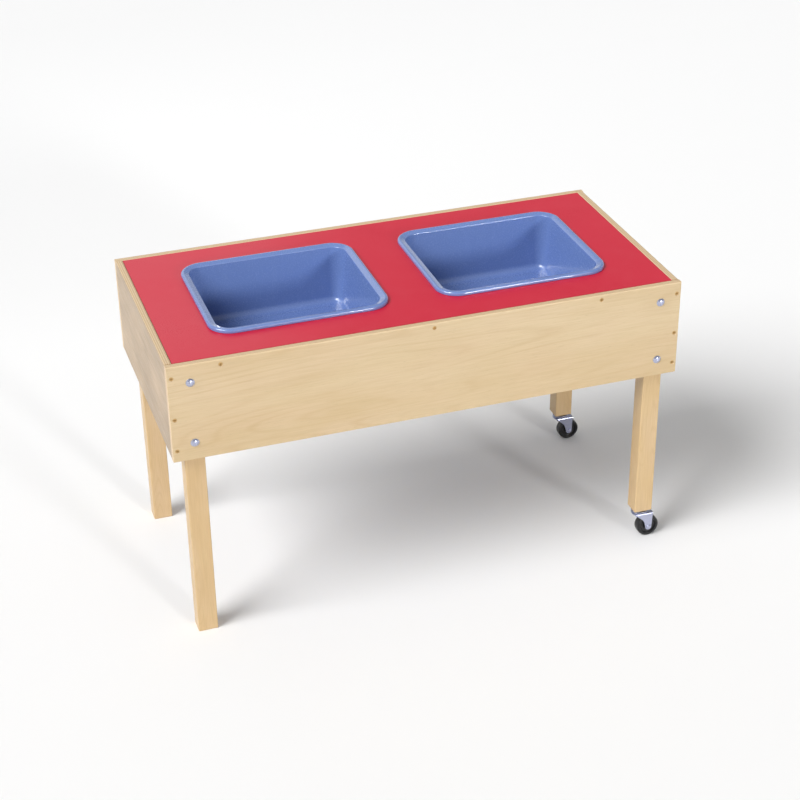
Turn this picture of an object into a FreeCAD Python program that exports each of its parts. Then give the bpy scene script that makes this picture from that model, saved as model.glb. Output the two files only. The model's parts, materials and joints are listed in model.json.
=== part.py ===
import FreeCAD, Part
import math
import os

# Sand and water table: a plywood box on four legs, with a red laminated top that holds two lift-out
# tubs. The left legs stand on the floor and the right legs end in swivel casters.
# Millimetres. +X runs along the table to the caster end, +Y from the front to the back, +Z up.
# The origin is on the floor, under the middle of the table.

# ---- driving dimensions ----
TABLE_LENGTH = 1067.0
TABLE_DEPTH = 508.0
TABLE_HEIGHT = 630.0
APRON_HEIGHT = 208.0
PANEL_THICKNESS = 15.0
PANEL_ROUND = 3.0
EDGE_EASE = 1.0

TOP_CORE_THICKNESS = 18.0
LAMINATE_THICKNESS = 1.0
TOP_RECESS = 0.5
TOP_GAP = 0.2

LEG_WIDTH = 41.0
LEG_DEPTH = 38.0
LEG_INSET = 24.0
LEG_ROUND = 2.5

TUB_LENGTH = 370.0
TUB_WIDTH = 322.0
TUB_HEIGHT = 128.0
TUB_SPACING = 471.0
TUB_CORNER = 48.0
TUB_WALL = 2.5
TUB_TAPER = 10.5
TUB_FLOOR_ROUND = 14.0
RIM_WIDTH = 16.5
RIM_RISE = 8.0
RIM_SEAT_GAP = 0.3
RIM_CROWN = 6.0
RIM_SLOPE_DROP = 3.5
RIM_INNER_ROUND = 2.0
RIM_CREST_ROUND = 3.5
RIM_OUTER_ROUND = 4.5
RIM_LIP_ROUND = 0.8
FLOOR_PANEL_INSET = 24.0
FLOOR_PANEL_RISE = 1.8
FLOOR_PANEL_CORNER = 20.0
CUTOUT_GAP = 3.0

CASTER_HEIGHT = 73.0
CASTER_TRAIL = 19.0
WHEEL_DIAMETER = 50.0
WHEEL_WIDTH = 20.0
FORK_GAUGE = 2.2
FORK_WIDTH = 28.0
FORK_TOP = 62.0
RACE_RADIUS = 18.0
BALL_DIAMETER = 4.5
BALL_CIRCLE_RADIUS = 12.5
BALL_COUNT = 14
RUNNING_GAP = 0.05

BOLT_DIAMETER = 8.0
BOLT_HEAD_DIAMETER = 17.5
BOLT_HEAD_HEIGHT = 4.4
BOLT_HEAD_RIM = 0.6
BOLT_NECK_LENGTH = 5.0
BOLT_DROPS = (39.0, 171.0)
SCREW_HEAD_DIAMETER = 8.6
SCREW_SHANK_DIAMETER = 4.2
CORNER_SCREW_LENGTH = 45.0
CORNER_SCREW_INSET = 9.0
CORNER_SCREW_DROPS = (25.0, 115.0, 184.0)
TOP_SCREW_LENGTH = 38.0
TOP_SCREW_PLACES = (105.0, 534.0, 890.0)
SCREW_SINK = 0.6
RECESS_SPAN = 4.8
RECESS_WIDTH = 1.1
RECESS_DEPTH = 2.2
HOLE_EASE = 0.1

# ---- dimensions that follow ----
HALF_LENGTH = TABLE_LENGTH / 2
HALF_DEPTH = TABLE_DEPTH / 2
INNER_HALF_LENGTH = HALF_LENGTH - PANEL_THICKNESS
INNER_HALF_DEPTH = HALF_DEPTH - PANEL_THICKNESS
APRON_BOTTOM = TABLE_HEIGHT - APRON_HEIGHT
LAMINATE_TOP = TABLE_HEIGHT - TOP_RECESS
CORE_TOP = LAMINATE_TOP - LAMINATE_THICKNESS
CORE_BOTTOM = CORE_TOP - TOP_CORE_THICKNESS
LEG_X = HALF_LENGTH - LEG_INSET - LEG_WIDTH / 2
LEG_Y = INNER_HALF_DEPTH - LEG_DEPTH / 2
RIM_TOP = TABLE_HEIGHT + RIM_RISE
TUB_BOTTOM = RIM_TOP - TUB_HEIGHT
FLOOR_TOP = TUB_BOTTOM + TUB_WALL
# Tub walls are measured outwards from the centre line of its corner arcs.
RIM_INNER = TUB_CORNER - RIM_WIDTH
TUB_FOOT = RIM_INNER - TUB_TAPER
WALL_OUTER = RIM_INNER + TUB_WALL
CUTOUT_CORNER = WALL_OUTER + CUTOUT_GAP
TUB_STRAIGHT_X = TUB_LENGTH / 2 - TUB_CORNER
TUB_STRAIGHT_Y = TUB_WIDTH / 2 - TUB_CORNER
WHEEL_RADIUS = WHEEL_DIAMETER / 2

V = FreeCAD.Vector
X_AXIS = V(1, 0, 0)
Y_AXIS = V(0, 1, 0)
Z_AXIS = V(0, 0, 1)


# ---- outlines and solids that many pieces share ----
def rounded_outline(corners, place):
    """A closed face outline. Each corner is (u, v, radius); place(u, v) puts a point in space."""
    corners = [(V(u, v, 0), radius) for u, v, radius in corners]
    legs = []
    arcs = []
    for index, (corner, radius) in enumerate(corners):
        before = (corners[index - 1][0] - corner).normalize()
        after = (corners[(index + 1) % len(corners)][0] - corner).normalize()
        if radius == 0:
            legs.append((corner, corner))
            arcs.append(None)
            continue
        half_angle = before.getAngle(after) / 2
        reach = radius / math.tan(half_angle)
        bisector = (before + after).normalize()
        middle = corner + bisector * (radius / math.sin(half_angle) - radius)
        start = corner + before * reach
        end = corner + after * reach
        legs.append((start, end))
        arcs.append((start, middle, end))
    edges = []
    for index, (leg, arc) in enumerate(zip(legs, arcs)):
        if arc:
            edges.append(Part.Arc(*[place(point.x, point.y) for point in arc]).toShape())
        following = legs[(index + 1) % len(legs)][0]
        if leg[1].distanceToPoint(following) > 1e-6:
            line_start = place(leg[1].x, leg[1].y)
            line_end = place(following.x, following.y)
            edges.append(Part.LineSegment(line_start, line_end).toShape())
    return Part.Face(Part.Wire(edges))


def rectangle_corners(half_u, half_v, radius):
    return [(-half_u, -half_v, radius), (half_u, -half_v, radius),
            (half_u, half_v, radius), (-half_u, half_v, radius)]


def upright_block(centre_x, centre_y, half_x, half_y, radius, bottom, top):
    """A vertical prism with a rounded rectangular plan."""
    corners = rectangle_corners(half_x, half_y, radius)
    plan = rounded_outline(corners, lambda u, v: V(centre_x + u, centre_y + v, bottom))
    return plan.extrude(V(0, 0, top - bottom))


def turned(profile, base, axis):
    """A solid of revolution. Each profile corner is (radius, distance along axis, corner radius)."""
    side = Y_AXIS if abs(axis.x) > 0.5 else X_AXIS
    section = rounded_outline(profile, lambda u, v: base + side * u + axis * v)
    return section.revolve(base, axis, 360)


def ring(outer_radius, inner_radius, thickness, base, axis):
    outer = Part.makeCylinder(outer_radius, thickness, base, axis)
    return outer.cut(Part.makeCylinder(inner_radius, thickness, base, axis))


def hexagon_nut(across_flats, bore_radius, thickness, base, axis):
    """A nut with its corners eased, its first face on base."""
    corner_radius = across_flats / math.sqrt(3)
    side = Z_AXIS.cross(axis).normalize()
    points = []
    for step in range(7):
        angle = math.radians(60 * step)
        reach = Z_AXIS * math.cos(angle) + side * math.sin(angle)
        points.append(base + reach * corner_radius)
    prism = Part.Face(Part.makePolygon(points)).extrude(axis * thickness)
    ease = thickness * 0.15
    eased = turned([(0, 0, 0), (corner_radius - ease, 0, 0), (corner_radius, ease, 0),
                    (corner_radius, thickness - ease, 0), (corner_radius - ease, thickness, 0),
                    (0, thickness, 0)], base, axis)
    return prism.common(eased).cut(Part.makeCylinder(bore_radius, thickness, base, axis))


def export(node, solids):
    shape = solids if isinstance(solids, Part.Shape) else Part.makeCompound(solids)
    shape.exportStep("parts/" + node + ".step")
    print(node, "solids", len(shape.Solids), "volume", round(shape.Volume), "valid", shape.isValid())


# ---- fasteners ----
def cross_recess(point, inward):
    """The driver's cross, sunk from point."""
    slots = []
    for size_x, size_z in ((RECESS_SPAN, RECESS_WIDTH), (RECESS_WIDTH, RECESS_SPAN)):
        slot = Part.makeBox(size_x, RECESS_DEPTH, size_z)
        slot.translate(point + V(-size_x / 2, min(0, inward.y * RECESS_DEPTH), -size_z / 2))
        slots.append(slot)
    return slots[0].fuse(slots[1])


def wood_screw(point, inward, length, ease=0.0):
    """A countersunk cross-head screw, its head just below the face at point. ease makes its hole."""
    head_radius = SCREW_HEAD_DIAMETER / 2 + ease
    shank_radius = SCREW_SHANK_DIAMETER / 2 + ease
    head_depth = head_radius - shank_radius
    tip_length = shank_radius * 2
    start = -0.1 if ease else SCREW_SINK
    profile = [(0, start, 0), (head_radius, start, 0), (head_radius, SCREW_SINK + 0.3, 0),
               (shank_radius, SCREW_SINK + 0.3 + head_depth, 0),
               (shank_radius, length - tip_length, 0), (0, length + ease, 0)]
    screw = turned(profile, point, inward)
    return screw if ease else screw.cut(cross_recess(point + inward * SCREW_SINK, inward))


def bolt_section(point, inward, radius, length):
    """Half of a dome-headed bolt: an arc over the head, a thin rim, then the shank."""
    head_radius = BOLT_HEAD_DIAMETER / 2
    dome_height = BOLT_HEAD_HEIGHT - BOLT_HEAD_RIM
    dome_radius = (head_radius ** 2 + dome_height ** 2) / (2 * dome_height)
    half_sweep = math.asin(head_radius / dome_radius) / 2

    def place(u, v):
        return point + X_AXIS * u + inward * v

    middle = place(dome_radius * math.sin(half_sweep),
                   dome_radius * (1 - math.cos(half_sweep)) - BOLT_HEAD_HEIGHT)
    crown = place(0, -BOLT_HEAD_HEIGHT)
    shoulder = place(head_radius, -BOLT_HEAD_RIM)
    dome = Part.Arc(crown, middle, shoulder).toShape()
    outline = Part.makePolygon([shoulder, place(head_radius, 0), place(radius, 0), place(radius, length),
                                place(0, length), crown])
    return Part.Face(Part.Wire([dome] + outline.Edges))


def carriage_bolt(point, inward, length, ease=0.0):
    """A dome-headed bolt with a square neck, its head standing on the face. ease makes its hole."""
    radius = BOLT_DIAMETER / 2 + ease
    neck = Part.makeBox(2 * radius, BOLT_NECK_LENGTH, 2 * radius)
    neck.translate(point + V(-radius, min(0, inward.y * BOLT_NECK_LENGTH), -radius))
    if ease:
        return Part.makeCylinder(radius, length, point, inward).fuse(neck)
    bolt = bolt_section(point, inward, radius, length).revolve(point, inward, 360)
    return bolt.fuse(neck).removeSplitter()


def apron_faces():
    """The outer faces of the front and back aprons: their Y, and the way inwards."""
    return ((-HALF_DEPTH, Y_AXIS), (HALF_DEPTH, -Y_AXIS))


def corner_screws(ease=0.0):
    screws = []
    for face_y, inward in apron_faces():
        for side in (-1, 1):
            for drop in CORNER_SCREW_DROPS:
                point = V(side * (HALF_LENGTH - CORNER_SCREW_INSET), face_y, TABLE_HEIGHT - drop)
                screws.append(wood_screw(point, inward, CORNER_SCREW_LENGTH, ease))
    return screws


def top_screws(ease=0.0):
    screws = []
    for face_y, inward in apron_faces():
        for place in TOP_SCREW_PLACES:
            point = V(place - HALF_LENGTH, face_y, (CORE_TOP + CORE_BOTTOM) / 2)
            screws.append(wood_screw(point, inward, TOP_SCREW_LENGTH, ease))
    return screws


def bolt_places():
    """Where each carriage bolt enters: a point on an apron's outer face, and the way inwards."""
    places = []
    for face_y, inward in apron_faces():
        for side in (-1, 1):
            for drop in BOLT_DROPS:
                places.append((V(side * LEG_X, face_y, TABLE_HEIGHT - drop), inward))
    return places


WASHER_THICKNESS = 1.6
NUT_THICKNESS = 6.5
BOLT_GRIP = PANEL_THICKNESS + LEG_DEPTH


def carriage_bolts(ease=0.0):
    length = BOLT_GRIP + WASHER_THICKNESS + NUT_THICKNESS + 2.0
    return [carriage_bolt(point, inward, length, ease) for point, inward in bolt_places()]


def bolt_washers():
    radius = BOLT_DIAMETER / 2
    return [ring(radius * 2.2, radius + 0.2, WASHER_THICKNESS, point + inward * BOLT_GRIP, inward)
            for point, inward in bolt_places()]


def bolt_nuts():
    nuts = []
    for point, inward in bolt_places():
        base = point + inward * (BOLT_GRIP + WASHER_THICKNESS)
        nuts.append(hexagon_nut(13.0, BOLT_DIAMETER / 2 + RUNNING_GAP, NUT_THICKNESS, base, inward))
    return nuts


# ---- wooden pieces ----
def cut_holes(shape, cutters):
    """Cut only the cutters that reach the shape."""
    box = shape.BoundBox
    reaching = [cutter for cutter in cutters if cutter.BoundBox.intersect(box)]
    return shape.cut(Part.makeCompound(reaching)) if reaching else shape


def panel_section(place):
    """A panel's upright section: rounded along the top, eased along the bottom. u is its thickness."""
    half = PANEL_THICKNESS / 2
    corners = [(-half, APRON_BOTTOM, EDGE_EASE), (half, APRON_BOTTOM, EDGE_EASE),
               (half, TABLE_HEIGHT, PANEL_ROUND), (-half, TABLE_HEIGHT, PANEL_ROUND)]
    return rounded_outline(corners, place)


def apron(side, cutters):
    """The long panel at the front (side -1) or the back (side 1), across the ends of the end panels."""
    centre_y = side * (HALF_DEPTH - PANEL_THICKNESS / 2)
    section = panel_section(lambda u, v: V(-HALF_LENGTH, centre_y + u, v))
    panel = section.extrude(V(TABLE_LENGTH, 0, 0))
    plan = upright_block(0, side * (HALF_DEPTH - TABLE_DEPTH / 4), HALF_LENGTH, TABLE_DEPTH / 4,
                         EDGE_EASE, APRON_BOTTOM - 1, TABLE_HEIGHT + 1)
    return cut_holes(panel.common(plan), cutters)


def end_panel(side, cutters):
    """The short panel at the left (side -1) or the right (side 1), between the aprons."""
    centre_x = side * (HALF_LENGTH - PANEL_THICKNESS / 2)
    section = panel_section(lambda u, v: V(centre_x + u, -INNER_HALF_DEPTH, v))
    return cut_holes(section.extrude(V(0, 2 * INNER_HALF_DEPTH, 0)), cutters)


def top_sheet(bottom, top):
    """A layer of the top, which fills the box of panels and has a cut-out for each tub."""
    sheet = upright_block(0, 0, INNER_HALF_LENGTH - TOP_GAP, INNER_HALF_DEPTH - TOP_GAP, 0, bottom, top)
    for side in (-1, 1):
        opening = upright_block(side * TUB_SPACING / 2, 0, TUB_STRAIGHT_X + CUTOUT_CORNER,
                                TUB_STRAIGHT_Y + CUTOUT_CORNER, CUTOUT_CORNER, bottom - 1, top + 1)
        sheet = sheet.cut(opening)
    return sheet


def leg(side_x, side_y, bottom, cutters):
    block = upright_block(side_x * LEG_X, side_y * LEG_Y, LEG_WIDTH / 2, LEG_DEPTH / 2, LEG_ROUND,
                          bottom, CORE_BOTTOM)
    base_edges = [edge for edge in block.Edges if edge.BoundBox.ZMax < bottom + 0.01]
    return cut_holes(block.makeChamfer(EDGE_EASE, base_edges), cutters)


# ---- tubs ----
def right_of(start, end):
    """The unit direction to the right of a line from one corner to the next."""
    across = end[0] - start[0]
    up = end[1] - start[1]
    length = math.hypot(across, up)
    return up / length, -across / length


def thickened(line, thickness):
    """A closed run of corners: a line of (u, v, radius) corners and the same line shifted to its right."""
    sides = [right_of(start, end) for start, end in zip(line, line[1:])]
    shifted = []
    for before, corner, after in zip(sides[:1] + sides, line, sides + sides[-1:]):
        share = thickness / (1 + before[0] * after[0] + before[1] * after[1])
        turns_left = before[0] * after[1] - before[1] * after[0] > 0
        u = corner[0] + share * (before[0] + after[0])
        v = corner[1] + share * (before[1] + after[1])
        radius = corner[2] + thickness if turns_left else max(corner[2] - thickness, 0)
        shifted.append((u, v, radius))
    return line + shifted[::-1]


def tub_section(place):
    """Half of the tub's section, from the corner arcs' centre line out over the rolled rim."""
    line = [(0, FLOOR_TOP, 0),
            (TUB_FOOT, FLOOR_TOP, TUB_FLOOR_ROUND),
            (RIM_INNER, RIM_TOP - RIM_SLOPE_DROP, RIM_INNER_ROUND),
            (TUB_CORNER - RIM_CROWN, RIM_TOP, RIM_CREST_ROUND),
            (TUB_CORNER, RIM_TOP, RIM_OUTER_ROUND),
            (TUB_CORNER, LAMINATE_TOP + RIM_SEAT_GAP, RIM_LIP_ROUND)]
    return rounded_outline(thickened(line, TUB_WALL), place)


def tub(centre_x):
    """A tub with tapered walls: its section runs straight along four sides and round four corners."""
    pieces = [upright_block(centre_x, 0, TUB_STRAIGHT_X, TUB_STRAIGHT_Y, 0, TUB_BOTTOM, FLOOR_TOP)]
    for turn in range(4):
        angle = 90 * turn
        along, reach = TUB_STRAIGHT_X, TUB_STRAIGHT_Y
        if turn % 2 == 1:
            along, reach = reach, along
        start = V(-along, -reach, 0)
        section = tub_section(lambda u, v: V(start.x, start.y - u, v))
        side_run = section.extrude(V(2 * along, 0, 0))
        corner = section.revolve(start, Z_AXIS, -90)
        for piece in (side_run, corner):
            piece.rotate(V(0, 0, 0), Z_AXIS, angle)
            piece.translate(V(centre_x, 0, 0))
            pieces.append(piece)
    shell = pieces[0].multiFuse(pieces[1:]).removeSplitter()
    return raise_floor(shell, centre_x)


def raise_floor(shell, centre_x):
    """Lift the middle of the floor, so that the tub stands on a band round its edge."""
    half_x = TUB_STRAIGHT_X + TUB_FOOT - FLOOR_PANEL_INSET
    half_y = TUB_STRAIGHT_Y + TUB_FOOT - FLOOR_PANEL_INSET
    panel = upright_block(centre_x, 0, half_x, half_y, FLOOR_PANEL_CORNER,
                          FLOOR_TOP - 1.0, FLOOR_TOP + FLOOR_PANEL_RISE)
    top_edges = [edge for edge in panel.Edges if edge.BoundBox.ZMin > FLOOR_TOP + FLOOR_PANEL_RISE - 0.01]
    panel = panel.makeChamfer(FLOOR_PANEL_RISE * 0.9, top_edges)
    hollow = upright_block(centre_x, 0, half_x - TUB_WALL, half_y - TUB_WALL,
                           FLOOR_PANEL_CORNER - 2.0, TUB_BOTTOM - 1.0, TUB_BOTTOM + FLOOR_PANEL_RISE)
    return shell.fuse(panel).removeSplitter().cut(hollow)


# ---- casters ----
CROWN_BOTTOM = FORK_TOP - FORK_GAUGE
LOWER_RACE_TOP = FORK_TOP + 4.0
SOCKET_FLANGE = 1.6
UPPER_RACE_TOP = CASTER_HEIGHT - SOCKET_FLANGE
UPPER_RACE_BOTTOM = LOWER_RACE_TOP + 2.0
BALL_LEVEL = (LOWER_RACE_TOP + UPPER_RACE_BOTTOM) / 2
KINGPIN_RADIUS = 4.0
STEM_RADIUS = 5.5
STEM_LENGTH = 36.0
SOCKET_RADIUS = 7.0
AXLE_RADIUS = 4.0
BUSHING_RADIUS = 6.0


def caster_socket(centre):
    """The steel sleeve in the leg, with a flange under the leg's end."""
    bore = STEM_RADIUS + 0.1
    flange_radius = SOCKET_RADIUS + 5.0
    depth = STEM_LENGTH + 2.0
    profile = [(bore, UPPER_RACE_TOP, 0), (flange_radius, UPPER_RACE_TOP, 0),
               (flange_radius, CASTER_HEIGHT, 0), (SOCKET_RADIUS, CASTER_HEIGHT, 0),
               (SOCKET_RADIUS, CASTER_HEIGHT + depth, 0), (bore, CASTER_HEIGHT + depth, 0)]
    return turned(profile, centre, Z_AXIS)


def caster_stem(centre):
    """Kingpin and stem in one: a riveted head under the fork, and a stem with a grip-ring groove."""
    head_top = CROWN_BOTTOM - 0.3
    stem_top = CASTER_HEIGHT + STEM_LENGTH
    groove = stem_top - 9.0
    profile = [(0, head_top - 2.2, 0), (KINGPIN_RADIUS + 2.0, head_top - 2.2, 1.0),
               (KINGPIN_RADIUS + 2.5, head_top, 0), (KINGPIN_RADIUS, head_top, 0),
               (KINGPIN_RADIUS, UPPER_RACE_TOP, 0), (STEM_RADIUS, UPPER_RACE_TOP, 0),
               (STEM_RADIUS, groove, 0), (STEM_RADIUS - 0.8, groove, 0),
               (STEM_RADIUS - 0.8, groove + 3.0, 0), (STEM_RADIUS, groove + 3.0, 0),
               (STEM_RADIUS, stem_top, 3.0), (0, stem_top, 0)]
    return turned(profile, centre, Z_AXIS)


def ball_groove(centre, ease):
    middle = centre + V(0, 0, BALL_LEVEL)
    return Part.makeTorus(BALL_CIRCLE_RADIUS, BALL_DIAMETER / 2 + ease, middle, Z_AXIS)


def upper_race(centre):
    """The dished cap that stays with the leg."""
    bore = KINGPIN_RADIUS + RUNNING_GAP
    outer = RACE_RADIUS + 1.0
    profile = [(bore, UPPER_RACE_BOTTOM, 0), (outer, UPPER_RACE_BOTTOM, 0.6),
               (outer, UPPER_RACE_BOTTOM + 1.6, 1.0), (RACE_RADIUS - 4.0, UPPER_RACE_TOP, 2.0),
               (bore, UPPER_RACE_TOP, 0)]
    return turned(profile, centre, Z_AXIS).cut(ball_groove(centre, RUNNING_GAP))


def lower_race(centre):
    """The cup that turns with the fork."""
    inner = KINGPIN_RADIUS + 1.5
    profile = [(inner, FORK_TOP, 0), (RACE_RADIUS - 3.0, FORK_TOP, 0),
               (RACE_RADIUS, LOWER_RACE_TOP - 2.0, 1.5), (RACE_RADIUS, LOWER_RACE_TOP, 0.6),
               (inner, LOWER_RACE_TOP, 0)]
    return turned(profile, centre, Z_AXIS).cut(ball_groove(centre, 0.3))


def race_balls(centre):
    balls = []
    for step in range(BALL_COUNT):
        angle = 2 * math.pi * step / BALL_COUNT
        place = V(math.cos(angle), math.sin(angle), 0) * BALL_CIRCLE_RADIUS
        balls.append(Part.makeSphere(BALL_DIAMETER / 2, centre + place + V(0, 0, BALL_LEVEL)))
    return balls


def fork(centre):
    """A folded steel fork: a channel trimmed to its side outline and to its plan."""
    half = FORK_WIDTH / 2
    inner = half - FORK_GAUGE
    back_x = -RACE_RADIUS
    front_x = CASTER_TRAIL + 8.0
    low = WHEEL_RADIUS - 8.0
    channel_corners = [(-half, low, 0), (-inner, low, 0), (-inner, CROWN_BOTTOM, 1.5),
                       (inner, CROWN_BOTTOM, 1.5), (inner, low, 0), (half, low, 0),
                       (half, FORK_TOP, 3.5), (-half, FORK_TOP, 3.5)]
    channel = rounded_outline(channel_corners, lambda u, v: centre + V(back_x, u, v))
    channel = channel.extrude(V(front_x - back_x, 0, 0))
    cheek_low = WHEEL_RADIUS - 7.0
    side_corners = [(back_x, FORK_TOP + 1, 0), (back_x, CROWN_BOTTOM - 3.0, 0),
                    (back_x + 9.0, CROWN_BOTTOM - 4.0, 3.0), (CASTER_TRAIL - 13.0, 43.0, 24.0),
                    (CASTER_TRAIL - 6.5, cheek_low, 6.0), (CASTER_TRAIL + 5.5, cheek_low, 6.0),
                    (front_x - 0.5, FORK_TOP - 6.0, 8.0), (front_x, FORK_TOP + 1, 0)]
    side = rounded_outline(side_corners, lambda u, v: centre + V(u, -half - 1, v))
    plan_corners = [(back_x, -half - 2, RACE_RADIUS * 0.8), (front_x, -half - 2, 4.0),
                    (front_x, half + 2, 4.0), (back_x, half + 2, RACE_RADIUS * 0.8)]
    plan = rounded_outline(plan_corners, lambda u, v: centre + V(u, v, low - 1))
    body = channel.common(side.extrude(V(0, FORK_WIDTH + 2, 0)))
    body = body.common(plan.extrude(V(0, 0, FORK_TOP)))
    kingpin_hole = Part.makeCylinder(KINGPIN_RADIUS + RUNNING_GAP, FORK_TOP, centre, Z_AXIS)
    axle_hole = Part.makeCylinder(AXLE_RADIUS + RUNNING_GAP, FORK_WIDTH, axle_end(centre), Y_AXIS)
    return body.cut(kingpin_hole).cut(axle_hole)


def axle_end(centre):
    """The axle's line, where it leaves the fork's front cheek."""
    return centre + V(CASTER_TRAIL, -FORK_WIDTH / 2, WHEEL_RADIUS)


def axle_bolt(centre):
    head_radius = 5.6
    profile = [(0, -2.6, 0), (head_radius - 1.6, -2.6, 0.8), (head_radius, -0.8, 0.5), (head_radius, 0, 0),
               (AXLE_RADIUS, 0, 0), (AXLE_RADIUS, FORK_WIDTH + 5.0, 0.6), (0, FORK_WIDTH + 5.0, 0)]
    return turned(profile, axle_end(centre), Y_AXIS)


def axle_nut(centre):
    base = axle_end(centre) + Y_AXIS * FORK_WIDTH
    return hexagon_nut(11.0, AXLE_RADIUS + RUNNING_GAP, 4.0, base, Y_AXIS)


def wheel(centre):
    """A moulded wheel with a rounded tread, a recessed web on each side and a hub."""
    half = WHEEL_WIDTH / 2
    hub_half = half + 0.6
    web_half = half - 4.0
    profile = [(BUSHING_RADIUS, -hub_half, 0), (9.0, -hub_half, 0.6), (10.0, -web_half, 1.0),
               (17.0, -web_half, 1.5), (18.5, -half, 1.0), (WHEEL_RADIUS, -half, 3.5),
               (WHEEL_RADIUS, half, 3.5), (18.5, half, 1.0), (17.0, web_half, 1.5),
               (10.0, web_half, 1.0), (9.0, hub_half, 0.6), (BUSHING_RADIUS, hub_half, 0)]
    return turned(profile, centre + V(CASTER_TRAIL, 0, WHEEL_RADIUS), Y_AXIS)


def wheel_bushing(centre):
    half = WHEEL_WIDTH / 2 + 1.4
    base = centre + V(CASTER_TRAIL, -half, WHEEL_RADIUS)
    return ring(BUSHING_RADIUS, AXLE_RADIUS + RUNNING_GAP, 2 * half, base, Y_AXIS)


def export_caster(name, centre):
    pieces = {"socket": caster_socket, "stem": caster_stem, "upper_race": upper_race,
              "race_balls": race_balls, "lower_race": lower_race, "fork": fork, "axle_bolt": axle_bolt,
              "axle_nut": axle_nut, "wheel": wheel, "wheel_bushing": wheel_bushing}
    for piece, make in pieces.items():
        export(name + "_caster_" + piece, make(centre))


def main():
    os.makedirs("parts", exist_ok=True)
    screw_holes = corner_screws(HOLE_EASE) + top_screws(HOLE_EASE)
    bolt_holes = carriage_bolts(HOLE_EASE)

    export("front_apron", apron(-1, screw_holes + bolt_holes))
    export("back_apron", apron(1, screw_holes + bolt_holes))
    export("left_end_panel", end_panel(-1, screw_holes))
    export("right_end_panel", end_panel(1, screw_holes))
    export("top_panel", cut_holes(top_sheet(CORE_BOTTOM, CORE_TOP), screw_holes))
    export("top_laminate", top_sheet(CORE_TOP, LAMINATE_TOP))

    for name_y, side_y in (("front", -1), ("back", 1)):
        export("leg_" + name_y + "_left", leg(-1, side_y, 0.0, bolt_holes))
        caster_centre = V(LEG_X, side_y * LEG_Y, 0)
        socket_hole = Part.makeCylinder(SOCKET_RADIUS + RUNNING_GAP, STEM_LENGTH + 2.0,
                                        caster_centre + V(0, 0, CASTER_HEIGHT), Z_AXIS)
        export("leg_" + name_y + "_right", leg(1, side_y, CASTER_HEIGHT, bolt_holes + [socket_hole]))
        export_caster(name_y, caster_centre)

    export("corner_screws", corner_screws())
    export("top_screws", top_screws())
    export("carriage_bolts", carriage_bolts())
    export("bolt_washers", bolt_washers())
    export("bolt_nuts", bolt_nuts())
    export("left_tub", tub(-TUB_SPACING / 2))
    export("right_tub", tub(TUB_SPACING / 2))


main()
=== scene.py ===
import json
import math

import bmesh
import bpy
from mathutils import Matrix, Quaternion, Vector


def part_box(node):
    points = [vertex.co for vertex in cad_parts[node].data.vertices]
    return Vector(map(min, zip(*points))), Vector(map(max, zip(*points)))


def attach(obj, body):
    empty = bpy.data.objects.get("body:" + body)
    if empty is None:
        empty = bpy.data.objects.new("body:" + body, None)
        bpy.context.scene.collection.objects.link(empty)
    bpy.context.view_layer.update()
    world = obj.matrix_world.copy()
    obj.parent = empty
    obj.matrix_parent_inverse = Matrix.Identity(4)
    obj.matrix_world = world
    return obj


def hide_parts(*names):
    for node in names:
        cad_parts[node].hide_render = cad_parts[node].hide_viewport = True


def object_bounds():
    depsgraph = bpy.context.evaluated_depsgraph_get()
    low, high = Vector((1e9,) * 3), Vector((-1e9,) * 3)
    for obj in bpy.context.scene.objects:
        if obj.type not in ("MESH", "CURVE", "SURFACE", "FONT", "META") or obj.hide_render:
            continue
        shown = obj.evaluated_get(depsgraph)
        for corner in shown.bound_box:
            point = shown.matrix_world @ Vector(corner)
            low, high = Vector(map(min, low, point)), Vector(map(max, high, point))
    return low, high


# Looks of the sand and water table, in metres, in the frame's own axes: +X runs along the table to
# the caster end, +Y from the front to the back, +Z up from the floor.

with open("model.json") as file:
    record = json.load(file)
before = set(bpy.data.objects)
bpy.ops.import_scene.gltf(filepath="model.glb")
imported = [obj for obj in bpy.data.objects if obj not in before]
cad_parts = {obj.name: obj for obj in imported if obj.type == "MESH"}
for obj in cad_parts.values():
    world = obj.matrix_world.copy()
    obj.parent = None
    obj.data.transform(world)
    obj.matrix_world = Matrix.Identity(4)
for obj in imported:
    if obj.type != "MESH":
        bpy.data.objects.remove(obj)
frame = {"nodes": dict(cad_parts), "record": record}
cad_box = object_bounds()
nodes = frame["nodes"]
MM = 0.001

TABLE_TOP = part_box("front_apron")[1].z


# ---- meshes ----
def make_object(name, vertices, faces, smooth_angle=40.0):
    """A piece in the frame's coordinates, shaded smooth apart from edges sharper than the angle."""
    mesh = bpy.data.meshes.new(name)
    mesh.from_pydata([tuple(v) for v in vertices], [], faces)
    tidy = bmesh.new()
    tidy.from_mesh(mesh)
    bmesh.ops.recalc_face_normals(tidy, faces=tidy.faces)
    tidy.to_mesh(mesh)
    tidy.free()
    mesh.shade_smooth()
    mesh.set_sharp_from_angle(angle=math.radians(smooth_angle))
    piece = bpy.data.objects.new(name, mesh)
    bpy.context.scene.collection.objects.link(piece)
    return piece


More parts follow.
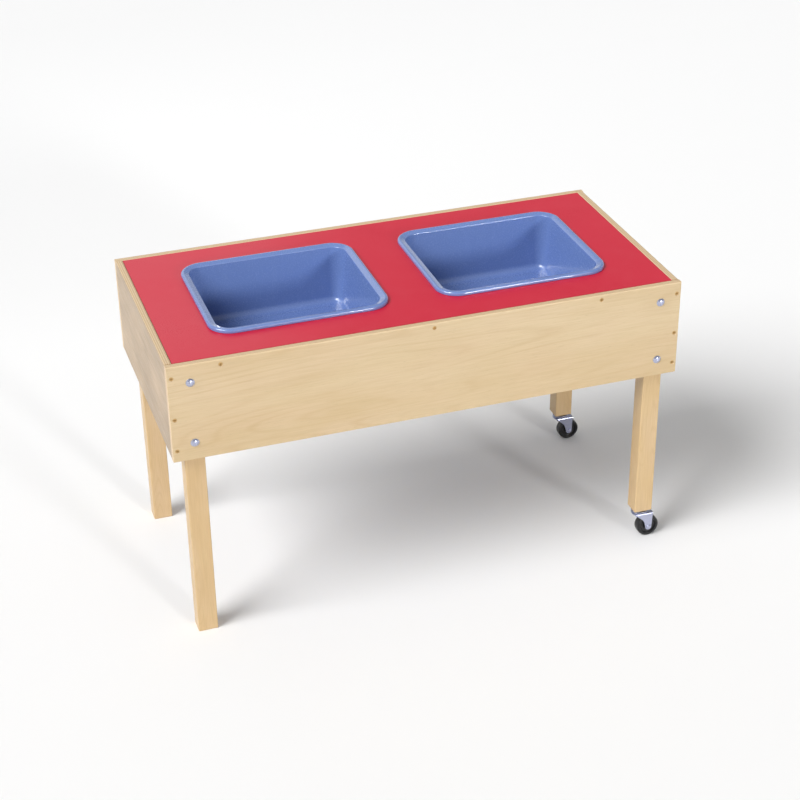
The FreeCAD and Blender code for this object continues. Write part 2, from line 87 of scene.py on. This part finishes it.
def rounded_path(corners, steps=8):
    """Points along a run of (u, v, radius) corners, each corner an arc. The first and last are points."""
    points = [Vector(corners[0][:2])]
    for before, corner, after in zip(corners, corners[1:], corners[2:]):
        here = Vector(corner[:2])
        radius = corner[2]
        if radius == 0:
            points.append(here)
            continue
        back = (Vector(before[:2]) - here).normalized()
        ahead = (Vector(after[:2]) - here).normalized()
        half_angle = back.angle(ahead) / 2
        reach = radius / math.tan(half_angle)
        centre = here + (back + ahead).normalized() * (radius / math.sin(half_angle))
        start = here + back * reach - centre
        end = here + ahead * reach - centre
        sweep = start.angle(end)
        for step in range(steps + 1):
            share = step / steps
            weight_start = math.sin((1 - share) * sweep) / math.sin(sweep)
            weight_end = math.sin(share * sweep) / math.sin(sweep)
            points.append(centre + start * weight_start + end * weight_end)
    points.append(Vector(corners[-1][:2]))
    return points


RING_CORNERS = ((1, 1), (-1, 1), (-1, -1), (1, -1))


def rounded_ring(half_x, half_y, radius, height, centre_x, corner_steps=16, side_steps=6):
    """A level ring: a rectangle whose corners are arcs, always with the same count of points."""
    def corner_point(corner, degrees):
        side_x, side_y = RING_CORNERS[corner % len(RING_CORNERS)]
        angle = math.radians(degrees)
        return Vector((centre_x + side_x * (half_x - radius) + radius * math.cos(angle),
                       side_y * (half_y - radius) + radius * math.sin(angle), height))

    ring = []
    for turn in range(len(RING_CORNERS)):
        for step in range(corner_steps + 1):
            ring.append(corner_point(turn, 90 * turn + 90 * step / corner_steps))
        arc_end = ring[-1]
        next_start = corner_point(turn + 1, 90 * (turn + 1))
        for step in range(1, side_steps):
            ring.append(arc_end.lerp(next_start, step / side_steps))
    return ring


def join_rings(rings, looped=False):
    """A skin over a run of rings, as vertices and faces. The run is looped, or its ends are filled."""
    count = len(rings[0])
    vertices = [point for ring in rings for point in ring]
    faces = []
    for level in range(len(rings) if looped else len(rings) - 1):
        low = level * count
        high = (level + 1) % len(rings) * count
        for step in range(count):
            following = (step + 1) % count
            faces.append((low + step, low + following, high + following, high + step))
    if not looped:
        faces.append(tuple(reversed(range(count))))
        faces.append(tuple(range(len(vertices) - count, len(vertices))))
    return vertices, faces


# ---- materials ----
def new_material(name):
    material = bpy.data.materials.new(name)
    material.use_nodes = True
    tree = material.node_tree
    shader = tree.nodes["Principled BSDF"]
    return material, tree, shader


def add_node(tree, kind, inputs=None, **settings):
    node = tree.nodes.new(kind)
    for key, value in settings.items():
        setattr(node, key, value)
    for key, value in (inputs or {}).items():
        if isinstance(value, bpy.types.NodeSocket):
            tree.links.new(value, node.inputs[key])
        else:
            node.inputs[key].default_value = value
    return node


def srgb(red, green, blue):
    """A shader colour from 0 to 255 display values."""
    def linear(value):
        value /= 255
        return value / 12.92 if value <= 0.04045 else ((value + 0.055) / 1.055) ** 2.4
    return (linear(red), linear(green), linear(blue), 1.0)


def object_position(tree, scale=(1, 1, 1), offset=(0, 0, 0)):
    """The place on the object, in metres, scaled and shifted."""
    place = add_node(tree, "ShaderNodeTexCoord").outputs["Object"]
    inputs = {"Vector": place, "Scale": scale, "Location": offset}
    return add_node(tree, "ShaderNodeMapping", inputs).outputs["Vector"]


def split(tree, coordinate):
    """The X, Y and Z of a texture coordinate: the object's own place, or its surface normal."""
    coordinates = add_node(tree, "ShaderNodeTexCoord")
    return add_node(tree, "ShaderNodeSeparateXYZ", {"Vector": coordinates.outputs[coordinate]}).outputs


def noise(tree, vector, scale, detail=3.0, roughness=0.5, distortion=0.0):
    inputs = {"Vector": vector, "Scale": scale, "Detail": detail, "Roughness": roughness,
              "Distortion": distortion}
    return add_node(tree, "ShaderNodeTexNoise", inputs).outputs["Fac"]


def mix_colour(tree, factor, first, second):
    """A blend of two colours. The node's colour sockets share their names, so they go by place."""
    inputs = {"Factor": factor, 6: first, 7: second}
    return add_node(tree, "ShaderNodeMix", inputs, data_type="RGBA").outputs[2]


def calculate(tree, operation, first, second=0.0):
    return add_node(tree, "ShaderNodeMath", {0: first, 1: second}, operation=operation).outputs[0]


def map_range(tree, value, from_low, from_high, to_low=0.0, to_high=1.0):
    inputs = {"Value": value, "From Min": from_low, "From Max": from_high,
              "To Min": to_low, "To Max": to_high}
    return add_node(tree, "ShaderNodeMapRange", inputs).outputs["Result"]


def set_bump(tree, shader, height, distance, strength=1.0):
    inputs = {"Height": height, "Distance": distance, "Strength": strength}
    bump = add_node(tree, "ShaderNodeBump", inputs)
    tree.links.new(bump.outputs["Normal"], shader.inputs["Normal"])


def speckle(tree, vector, scale, low, high, strength):
    """Small scattered spots: where a fine noise rises above the low mark."""
    return map_range(tree, noise(tree, vector, scale, 2.0, 0.5), low, high, 0.0, strength)


def grain_vector(tree, along, stretch, seed):
    """Frame coordinates drawn out along one axis, 0 for X, 1 for Y, 2 for Z."""
    scale = tuple(stretch if axis == along else 1.0 for axis in range(3))
    return object_position(tree, scale, (seed * 1.7, seed * 2.3, seed * 0.9))


def darker(colour, share):
    return tuple(share * channel for channel in colour[:3]) + (1.0,)


def growth_lines(tree, along, seed, stretch, scale, count, width):
    """Thin lines along the level curves of a stretched noise, as cut veneer shows its growth rings."""
    field = noise(tree, grain_vector(tree, along, stretch, seed), scale, 2.0, 0.45, 0.3)
    between = calculate(tree, "PINGPONG", calculate(tree, "MULTIPLY", field, count), 0.5)
    return map_range(tree, between, 0.0, width, 1.0, 0.0)


def wood_face(tree, along, seed, light, dark, ring_scale=5.0):
    """Colour and fibre height of a lacquered wood face whose grain runs along an axis."""
    broad = noise(tree, grain_vector(tree, along, 0.22, seed), 8.0, 4.0, 0.55, 0.4)
    colour = mix_colour(tree, map_range(tree, broad, 0.32, 0.68), light, dark)
    blush = noise(tree, grain_vector(tree, along, 0.35, seed + 7), 16.0, 3.0, 0.5)
    colour = mix_colour(tree, map_range(tree, blush, 0.42, 0.72, 0.0, 0.5), colour, WOOD_BLUSH)
    rings = growth_lines(tree, along, seed, 0.11, ring_scale, 34.0, 0.20)
    patches = noise(tree, grain_vector(tree, along, 0.3, seed + 4), 14.0)
    strength = map_range(tree, patches, 0.3, 0.7, 0.03, 0.32)
    colour = mix_colour(tree, calculate(tree, "MULTIPLY", rings, strength), colour, WOOD_LINE)
    streaks = noise(tree, grain_vector(tree, along, 0.04, seed + 2), 420.0, 3.0, 0.6)
    colour = mix_colour(tree, map_range(tree, streaks, 0.45, 0.75, 0.0, 0.20), colour, WOOD_LINE)
    fibres = noise(tree, grain_vector(tree, along, 0.02, seed), 700.0, 3.0, 0.65)
    colour = mix_colour(tree, map_range(tree, fibres, 0.38, 0.75, 0.0, 0.30), colour, darker(dark, 0.78))
    pores = speckle(tree, grain_vector(tree, along, 0.06, seed), 950.0, 0.66, 0.78, 0.40)
    colour = mix_colour(tree, pores, colour, darker(dark, 0.55))
    return colour, fibres


def lacquer(tree, shader, colour, height, roughness=0.40):
    """A thin satin lacquer over wood."""
    tree.links.new(colour, shader.inputs["Base Color"])
    rough = map_range(tree, height, 0.3, 0.7, roughness - 0.05, roughness + 0.12)
    tree.links.new(rough, shader.inputs["Roughness"])
    shader.inputs["Specular IOR Level"].default_value = 0.35
    shader.inputs["Coat Weight"].default_value = 0.10
    shader.inputs["Coat Roughness"].default_value = 0.22
    set_bump(tree, shader, height, 0.00010, 0.5)


WOOD_LIGHT = srgb(209, 188, 153)
WOOD_DARK = srgb(199, 174, 134)
WOOD_BLUSH = srgb(210, 185, 153)
WOOD_LINE = srgb(182, 150, 108)
# Painted shade: the end panels get a darker, greyer copy of the aprons' birch, which paints the shade of the
# left end into its veneer.
SHADED_END_LIGHT = srgb(167, 147, 123)
SHADED_END_DARK = srgb(158, 136, 110)
MAPLE_LIGHT = srgb(206, 178, 134)
MAPLE_DARK = srgb(197, 166, 122)
PLY_LIGHT = srgb(222, 198, 162)
PLY_DARK = srgb(203, 174, 134)
GLUE_LINE = srgb(146, 114, 80)
END_GRAIN_LIGHT = srgb(182, 150, 106)
END_GRAIN_DARK = srgb(150, 114, 74)
# Width of a glue line as a share of one ply.
GLUE_LINE_WIDTH = 0.06
GLUE_LINE_STRENGTH = 0.55
PLIES = 7


def plywood(name, along, thickness_axis, node_name, seed, light=WOOD_LIGHT, dark=WOOD_DARK):
    """Birch plywood: long grain on its faces, its layers on every edge."""
    material, tree, shader = new_material(name)
    face, fibres = wood_face(tree, along, seed, light, dark)
    low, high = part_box(node_name)
    place = split(tree, "Object")[thickness_axis]
    facing = split(tree, "Normal")[thickness_axis]
    depth = map_range(tree, place, low[thickness_axis], high[thickness_axis], 0.0, PLIES)
    pair = calculate(tree, "FRACT", calculate(tree, "MULTIPLY", depth, 0.5))
    cross_ply = calculate(tree, "GREATER_THAN", pair, 0.5)
    layers = mix_colour(tree, cross_ply, PLY_LIGHT, PLY_DARK)
    grit = noise(tree, object_position(tree), 800.0, 3.0, 0.6)
    layers = mix_colour(tree, map_range(tree, grit, 0.4, 0.8, 0.0, 0.4), layers, darker(PLY_DARK, 0.6))
    line = calculate(tree, "LESS_THAN", calculate(tree, "PINGPONG", depth, 0.5), GLUE_LINE_WIDTH)
    layers = mix_colour(tree, calculate(tree, "MULTIPLY", line, GLUE_LINE_STRENGTH), layers, GLUE_LINE)
    on_edge = map_range(tree, calculate(tree, "ABSOLUTE", facing), 0.55, 0.80, 1.0, 0.0)
    colour = mix_colour(tree, on_edge, face, layers)
    lacquer(tree, shader, colour, fibres)
    return material


def solid_wood(name, seed):
    """Lacquered maple, its grain up the leg and its ends darker."""
    material, tree, shader = new_material(name)
    face, fibres = wood_face(tree, 2, seed, MAPLE_LIGHT, MAPLE_DARK, 12.0)
    pith = object_position(tree, (1, 0.35, 0), (0.3, 1.4, 0))
    rings = add_node(tree, "ShaderNodeTexWave", {"Vector": pith, "Scale": 120.0, "Distortion": 2.5,
                                                 "Detail": 2.0}, wave_type="RINGS")
    end_grain = mix_colour(tree, rings.outputs["Fac"], END_GRAIN_LIGHT, END_GRAIN_DARK)
    on_end = map_range(tree, calculate(tree, "ABSOLUTE", split(tree, "Normal")[2]), 0.7, 0.9)
    lacquer(tree, shader, mix_colour(tree, on_end, face, end_grain), fibres)
    return material


def laminate():
    """Red high-pressure laminate with the fine even texture of a worktop."""
    material, tree, shader = new_material("red_laminate")
    cloud = noise(tree, object_position(tree), 6.0, 3.0, 0.5)
    colour = mix_colour(tree, cloud, srgb(200, 14, 48), srgb(207, 20, 54))
    rubbed = speckle(tree, object_position(tree), 24.0, 0.50, 0.75, 0.10)
    tree.links.new(mix_colour(tree, rubbed, colour, srgb(206, 70, 84)), shader.inputs["Base Color"])
    grain = noise(tree, object_position(tree), 1500.0, 2.0, 0.5)
    rough = map_range(tree, grain, 0.3, 0.7, 0.27, 0.38)
    rough = calculate(tree, "ADD", rough, map_range(tree, cloud, 0.3, 0.7, -0.03, 0.04))
    tree.links.new(rough, shader.inputs["Roughness"])
    set_bump(tree, shader, grain, 0.00005, 0.35)
    return material


def tub_plastic():
    """Blue moulded plastic with a soft gloss and a few rub marks."""
    material, tree, shader = new_material("blue_plastic")
    cloud = noise(tree, object_position(tree), 5.0, 2.0, 0.5)
    colour = mix_colour(tree, cloud, srgb(101, 125, 181), srgb(108, 133, 189))
    rubbed = speckle(tree, object_position(tree, (1.0, 1.0, 0.3)), 45.0, 0.54, 0.80, 0.12)
    colour = mix_colour(tree, rubbed, colour, srgb(129, 152, 203))
    tree.links.new(colour, shader.inputs["Base Color"])
    peel = noise(tree, object_position(tree), 420.0, 2.0, 0.5)
    tree.links.new(map_range(tree, peel, 0.3, 0.7, 0.22, 0.30), shader.inputs["Roughness"])
    shader.inputs["Coat Weight"].default_value = 0.9
    shader.inputs["Coat Roughness"].default_value = 0.08
    set_bump(tree, shader, peel, 0.00002, 0.1)
    return material


def metal(name, first, second, roughness, patch_scale=180.0):
    """Plated metal with a faint mottle and fine scratches."""
    material, tree, shader = new_material(name)
    mottle = noise(tree, object_position(tree), patch_scale, 3.0, 0.6)
    tree.links.new(mix_colour(tree, mottle, first, second), shader.inputs["Base Color"])
    shader.inputs["Metallic"].default_value = 1.0
    scratches = noise(tree, object_position(tree, (1.0, 0.08, 1.0)), 2600.0, 2.0, 0.6)
    tree.links.new(map_range(tree, scratches, 0.3, 0.7, roughness - 0.07, roughness + 0.10),
                   shader.inputs["Roughness"])
    set_bump(tree, shader, scratches, 0.00003, 0.3)
    return material


def wheel_rubber():
    """Hard black rubber with a little floor dust."""
    material, tree, shader = new_material("black_wheel")
    dust = noise(tree, object_position(tree), 60.0, 4.0, 0.6)
    colour = mix_colour(tree, map_range(tree, dust, 0.45, 0.75), srgb(14, 14, 16), srgb(36, 35, 36))
    tree.links.new(colour, shader.inputs["Base Color"])
    grain = noise(tree, object_position(tree), 1800.0, 2.0, 0.5)
    tree.links.new(map_range(tree, grain, 0.3, 0.7, 0.26, 0.40), shader.inputs["Roughness"])
    set_bump(tree, shader, grain, 0.00005, 0.3)
    return material


def dress_nodes():
    """Give every CAD node its material, and return the materials that the new pieces share."""
    finishes = {
        "front_apron": plywood("apron_front_ply", 0, 1, "front_apron", 1.0),
        "back_apron": plywood("apron_back_ply", 0, 1, "back_apron", 2.0),
        # Both end panels take the darker copy of the birch: painted shade.
        "left_end_panel": plywood("end_left_ply", 1, 0, "left_end_panel", 3.0, SHADED_END_LIGHT, SHADED_END_DARK),
        "right_end_panel": plywood("end_right_ply", 1, 0, "right_end_panel", 4.0, SHADED_END_LIGHT, SHADED_END_DARK),
        "top_panel": plywood("top_core_ply", 0, 2, "top_panel", 5.0),
        "top_laminate": laminate(),
    }
    by_slot = {
        "zinc_plate": metal("zinc_plate", srgb(168, 174, 206), srgb(198, 200, 214), 0.28),
        "bearing_steel": metal("bearing_steel", srgb(150, 150, 152), srgb(175, 174, 172), 0.22),
        "brass_plated_screws": metal("brass_plated", srgb(214, 180, 126), srgb(176, 142, 96), 0.34),
        "black_wheel": wheel_rubber(),
        "blue_plastic": tub_plastic(),
    }
    slots = {part["node"]: part["material_slot"] for part in frame["record"]["subparts"]}
    for index, name in enumerate(sorted(nodes)):
        slot = slots[name]
        if name in finishes:
            material = finishes[name]
        elif slot == "maple":
            material = solid_wood("maple_" + name, 6.0 + index)
        else:
            material = by_slot[slot]
        mesh = nodes[name].data
        mesh.materials.clear()
        mesh.materials.append(material)
    return by_slot


# ---- tubs ----
# The section is measured outwards from the centre line of the tub's corner arcs.
TUB_CORNER = 48 * MM
TUB_WALL = 2.5 * MM
TUB_TAPER = 10.5 * MM
TUB_FLOOR_ROUND = 14 * MM
RIM_WIDTH = 16.5 * MM
RIM_CROWN = 6 * MM
RIM_SLOPE_DROP = 3.5 * MM
RIM_SEAT_GAP = 0.3 * MM
RIM_INNER_ROUND = 2.0 * MM
RIM_CREST_ROUND = 3.5 * MM
RIM_OUTER_ROUND = 4.5 * MM
RIM_LIP_ROUND = 0.8 * MM
RIM_INNER = TUB_CORNER - RIM_WIDTH
TUB_FOOT = RIM_INNER - TUB_TAPER
# The section starts just outside that centre line, where a ring still has round corners.
FLOOR_START = 4 * MM
FLOOR_PANEL_EDGE = TUB_FOOT - 24 * MM
FLOOR_PANEL_CORNER = 20 * MM
FLOOR_PANEL_RISE = 1.8 * MM
# The raised panel's soft edge: millimetres outwards, and the share of the rise there.
FLOOR_PANEL_STEPS = ((-8, 1.0), (-2.2, 1.0), (-1.2, 0.93), (0.0, 0.5), (1.2, 0.07), (2.2, 0.0))


def right_of(start, end):
    """The unit direction to the right of a line from one corner to the next."""
    along = (Vector(end[:2]) - Vector(start[:2])).normalized()
    return Vector((along.y, -along.x))


def thickened(line, thickness):
    """Corners along a line of (u, v, radius) corners and back beside it, on its right."""
    sides = [right_of(start, end) for start, end in zip(line, line[1:])]
    shifted = []
    for before, corner, after in zip(sides[:1] + sides, line, sides + sides[-1:]):
        place = Vector(corner[:2]) + (before + after) * thickness / (1 + before.dot(after))
        turns_left = before.cross(after) > 0
        radius = corner[2] + thickness if turns_left else max(corner[2] - thickness, 0.0)
        shifted.append((place.x, place.y, radius))
    return line + shifted[::-1]


def tub_rings(name):
    """The tub's skin as level rings: from the middle of the floor up, over the rim and back beneath."""
    low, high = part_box(name)
    centre_x = (low.x + high.x) / 2
    straight_x = (high.x - low.x) / 2 - TUB_CORNER
    straight_y = (high.y - low.y) / 2 - TUB_CORNER
    floor_top = low.z + TUB_WALL
    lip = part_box("top_laminate")[1].z + RIM_SEAT_GAP

    def ring(out, corner, height):
        return rounded_ring(straight_x + out, straight_y + out, corner, height, centre_x)

    def panel(base):
        return [ring(FLOOR_PANEL_EDGE + step * MM, FLOOR_PANEL_CORNER + step * MM,
                     base + share * FLOOR_PANEL_RISE) for step, share in FLOOR_PANEL_STEPS]

    line = [(FLOOR_START, floor_top, 0),
            (TUB_FOOT, floor_top, TUB_FLOOR_ROUND),
            (RIM_INNER, high.z - RIM_SLOPE_DROP, RIM_INNER_ROUND),
            (TUB_CORNER - RIM_CROWN, high.z, RIM_CREST_ROUND),
            (TUB_CORNER, high.z, RIM_OUTER_ROUND),
            (TUB_CORNER, lip, RIM_LIP_ROUND)]
    section = rounded_path(thickened(line, TUB_WALL))
    wall = [ring(point.x, point.x, point.y) for point in section]
    return panel(floor_top) + wall + panel(low.z)[::-1]


def build_tub(name, plastic):
    """The moulded tub that is shown in place of its CAD node."""
    vertices, faces = join_rings(tub_rings(name))
    tub = make_object(name + "_moulding", vertices, faces, 50.0)
    tub.data.materials.append(plastic)
    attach(tub, name)
    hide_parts(name)
    return tub


# ---- wheels ----
WHEEL_HALF_WIDTH = 10 * MM
WEB_RECESS = 4 * MM
WHEEL_BORE = 6 * MM
HUB_RADIUS = 9.0 * MM
WEB_INNER = 10.2 * MM
WEB_OUTER = 16.6 * MM
STEP_INNER = 18.4 * MM
STEP_OUTER = 19.6 * MM
TYRE_INNER = 20.0 * MM
STEP_DEPTH = 0.5 * MM
BORE_CHAMFER = 0.4 * MM
TREAD_CROWN = 0.2 * MM
TREAD_FLAT = 3.0 * MM
PARTING_LINE = 0.25 * MM
WHEEL_SEGMENTS = 96


def wheel_side(radius, hub):
    """Half of a wheel's section as (reach, across, radius) corners, from its bore to the tread's middle."""
    web = WHEEL_HALF_WIDTH - WEB_RECESS
    stepped = WHEEL_HALF_WIDTH - STEP_DEPTH
    return [(WHEEL_BORE, hub - BORE_CHAMFER, 0), (WHEEL_BORE + BORE_CHAMFER, hub, 0),
            (HUB_RADIUS, hub, 0.7 * MM), (WEB_INNER, web, 1.2 * MM), (WEB_OUTER, web, 1.5 * MM),
            (STEP_INNER, stepped, 0.8 * MM), (STEP_OUTER, stepped, 0.2 * MM),
            (TYRE_INNER, WHEEL_HALF_WIDTH, 0.4 * MM),
            (radius - TREAD_CROWN, WHEEL_HALF_WIDTH, 3.6 * MM), (radius, TREAD_FLAT, 4.0 * MM),
            (radius, PARTING_LINE, 0), (radius, 0, 0)]


def build_wheel(name, rubber):
    """A turned wheel: crowned tread, stepped side walls, a recessed web and a hub."""
    low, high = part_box(name)
    centre = (low + high) / 2
    radius = (high.z - low.z) / 2
    hub = (high.y - low.y) / 2
    outer = rounded_path(wheel_side(radius, hub), 6)
    profile = [(point.x, -point.y) for point in outer] + [(point.x, point.y) for point in outer[-2::-1]]
    rings = []
    for reach, across in profile:
        ring = []
        for step in range(WHEEL_SEGMENTS):
            angle = 2 * math.pi * step / WHEEL_SEGMENTS
            ring.append(centre + Vector((reach * math.cos(angle), across, reach * math.sin(angle))))
        rings.append(ring)
    vertices, faces = join_rings(rings, looped=True)
    wheel = make_object(name + "_moulding", vertices, faces, 40.0)
    wheel.data.materials.append(rubber)
    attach(wheel, name)
    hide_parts(name)
    return wheel


# ---- camera, light and stage ----
CAMERA_AZIMUTH = -18.3
CAMERA_ELEVATION = 29.9
CAMERA_ROLL = -0.8
CAMERA_DISTANCE = 3.80
CAMERA_LENS = 80.0
# From the middle of the table's box to the point that the camera looks at.
CAMERA_AIM_SHIFT = Vector((0.002, -0.028, 0.016))
LAMP_DISTANCE = 4
FLOOR_REACH = 30.0
FLOOR_ALBEDO = 0.88
HORIZON_STRENGTH = 0.93
OVERHEAD_STRENGTH = 0.31


def toward(azimuth, elevation):
    """The direction from the table to the camera or a lamp: azimuth 0 is the front, positive to the right."""
    azimuth = math.radians(azimuth)
    elevation = math.radians(elevation)
    return Vector((math.sin(azimuth) * math.cos(elevation), -math.cos(azimuth) * math.cos(elevation),
                   math.sin(elevation)))


def add_camera():
    """The camera looks at a point just in front of the table's middle."""
    aim = (cad_box[0] + cad_box[1]) / 2 + CAMERA_AIM_SHIFT
    back = toward(CAMERA_AZIMUTH, CAMERA_ELEVATION)
    camera = bpy.data.objects.new("camera", bpy.data.cameras.new("camera"))
    bpy.context.scene.collection.objects.link(camera)
    camera.data.lens = CAMERA_LENS
    camera.location = aim + back * CAMERA_DISTANCE
    camera.rotation_mode = "QUATERNION"
    level = (-back).to_track_quat("-Z", "Y")
    camera.rotation_quaternion = level @ Quaternion((0, 0, 1), math.radians(CAMERA_ROLL))
    bpy.context.scene.camera = camera
    return camera


def add_sun(name, azimuth, elevation, strength, spread):
    """An even light from one side, as soft as its spread in degrees."""
    light = bpy.data.lights.new(name, "SUN")
    light.energy = strength
    light.angle = math.radians(spread)
    lamp = bpy.data.objects.new(name, light)
    lamp.rotation_mode = "QUATERNION"
    lamp.rotation_quaternion = (-toward(azimuth, elevation)).to_track_quat("-Z", "Y")
    lamp.location = toward(azimuth, elevation) * LAMP_DISTANCE
    bpy.context.scene.collection.objects.link(lamp)
    return lamp


def add_panel(name, azimuth, elevation, distance, size, power):
    """A large soft panel that faces the table."""
    light = bpy.data.lights.new(name, "AREA")
    light.shape = "RECTANGLE"
    light.size, light.size_y = size
    light.energy = power
    lamp = bpy.data.objects.new(name, light)
    aim = Vector((0, 0, TABLE_TOP))
    lamp.location = aim + toward(azimuth, elevation) * distance
    lamp.rotation_mode = "QUATERNION"
    lamp.rotation_quaternion = (-toward(azimuth, elevation)).to_track_quat("-Z", "Y")
    bpy.context.scene.collection.objects.link(lamp)
    return lamp


def add_stage():
    """A pale floor, and the lamps and room light around it."""
    corners = [(x * FLOOR_REACH, y * FLOOR_REACH, 0) for x, y in ((-1, -1), (1, -1), (1, 1), (-1, 1))]
    floor = make_object("floor", corners, [(0, 1, 2, 3)])
    material, tree, shader = new_material("studio_floor")
    shader.inputs["Base Color"].default_value = (FLOOR_ALBEDO, FLOOR_ALBEDO, FLOOR_ALBEDO, 1)
    shader.inputs["Roughness"].default_value = 0.9
    floor.data.materials.append(material)
    bpy.context.scene.world = studio_world()
    add_sun("key", -72, 44, 3.0, 34)
    add_sun("fill", 19, 13, 1.1, 8)
    add_panel("sheen", 186, 30, 3.0, (1.6, 1.4), 5)
    bpy.context.scene.view_settings.view_transform = "Standard"


def studio_world():
    """A pale room: white at the horizon, dimmer overhead."""
    world = bpy.data.worlds.new("studio")
    world.use_nodes = True
    tree = world.node_tree
    coordinates = add_node(tree, "ShaderNodeTexCoord")
    direction = add_node(tree, "ShaderNodeSeparateXYZ", {"Vector": coordinates.outputs["Generated"]})
    height = direction.outputs["Z"]
    strength = map_range(tree, height, 0.05, 0.42, HORIZON_STRENGTH, OVERHEAD_STRENGTH)
    tree.links.new(strength, tree.nodes["Background"].inputs["Strength"])
    tree.nodes["Background"].inputs["Color"].default_value = (1.0, 1.0, 1.0, 1)
    return world


by_slot = dress_nodes()
for tub_name in ("left_tub", "right_tub"):
    build_tub(tub_name, by_slot["blue_plastic"])
for wheel_name in ("front_caster_wheel", "back_caster_wheel"):
    build_wheel(wheel_name, by_slot["black_wheel"])
add_camera()
add_stage()
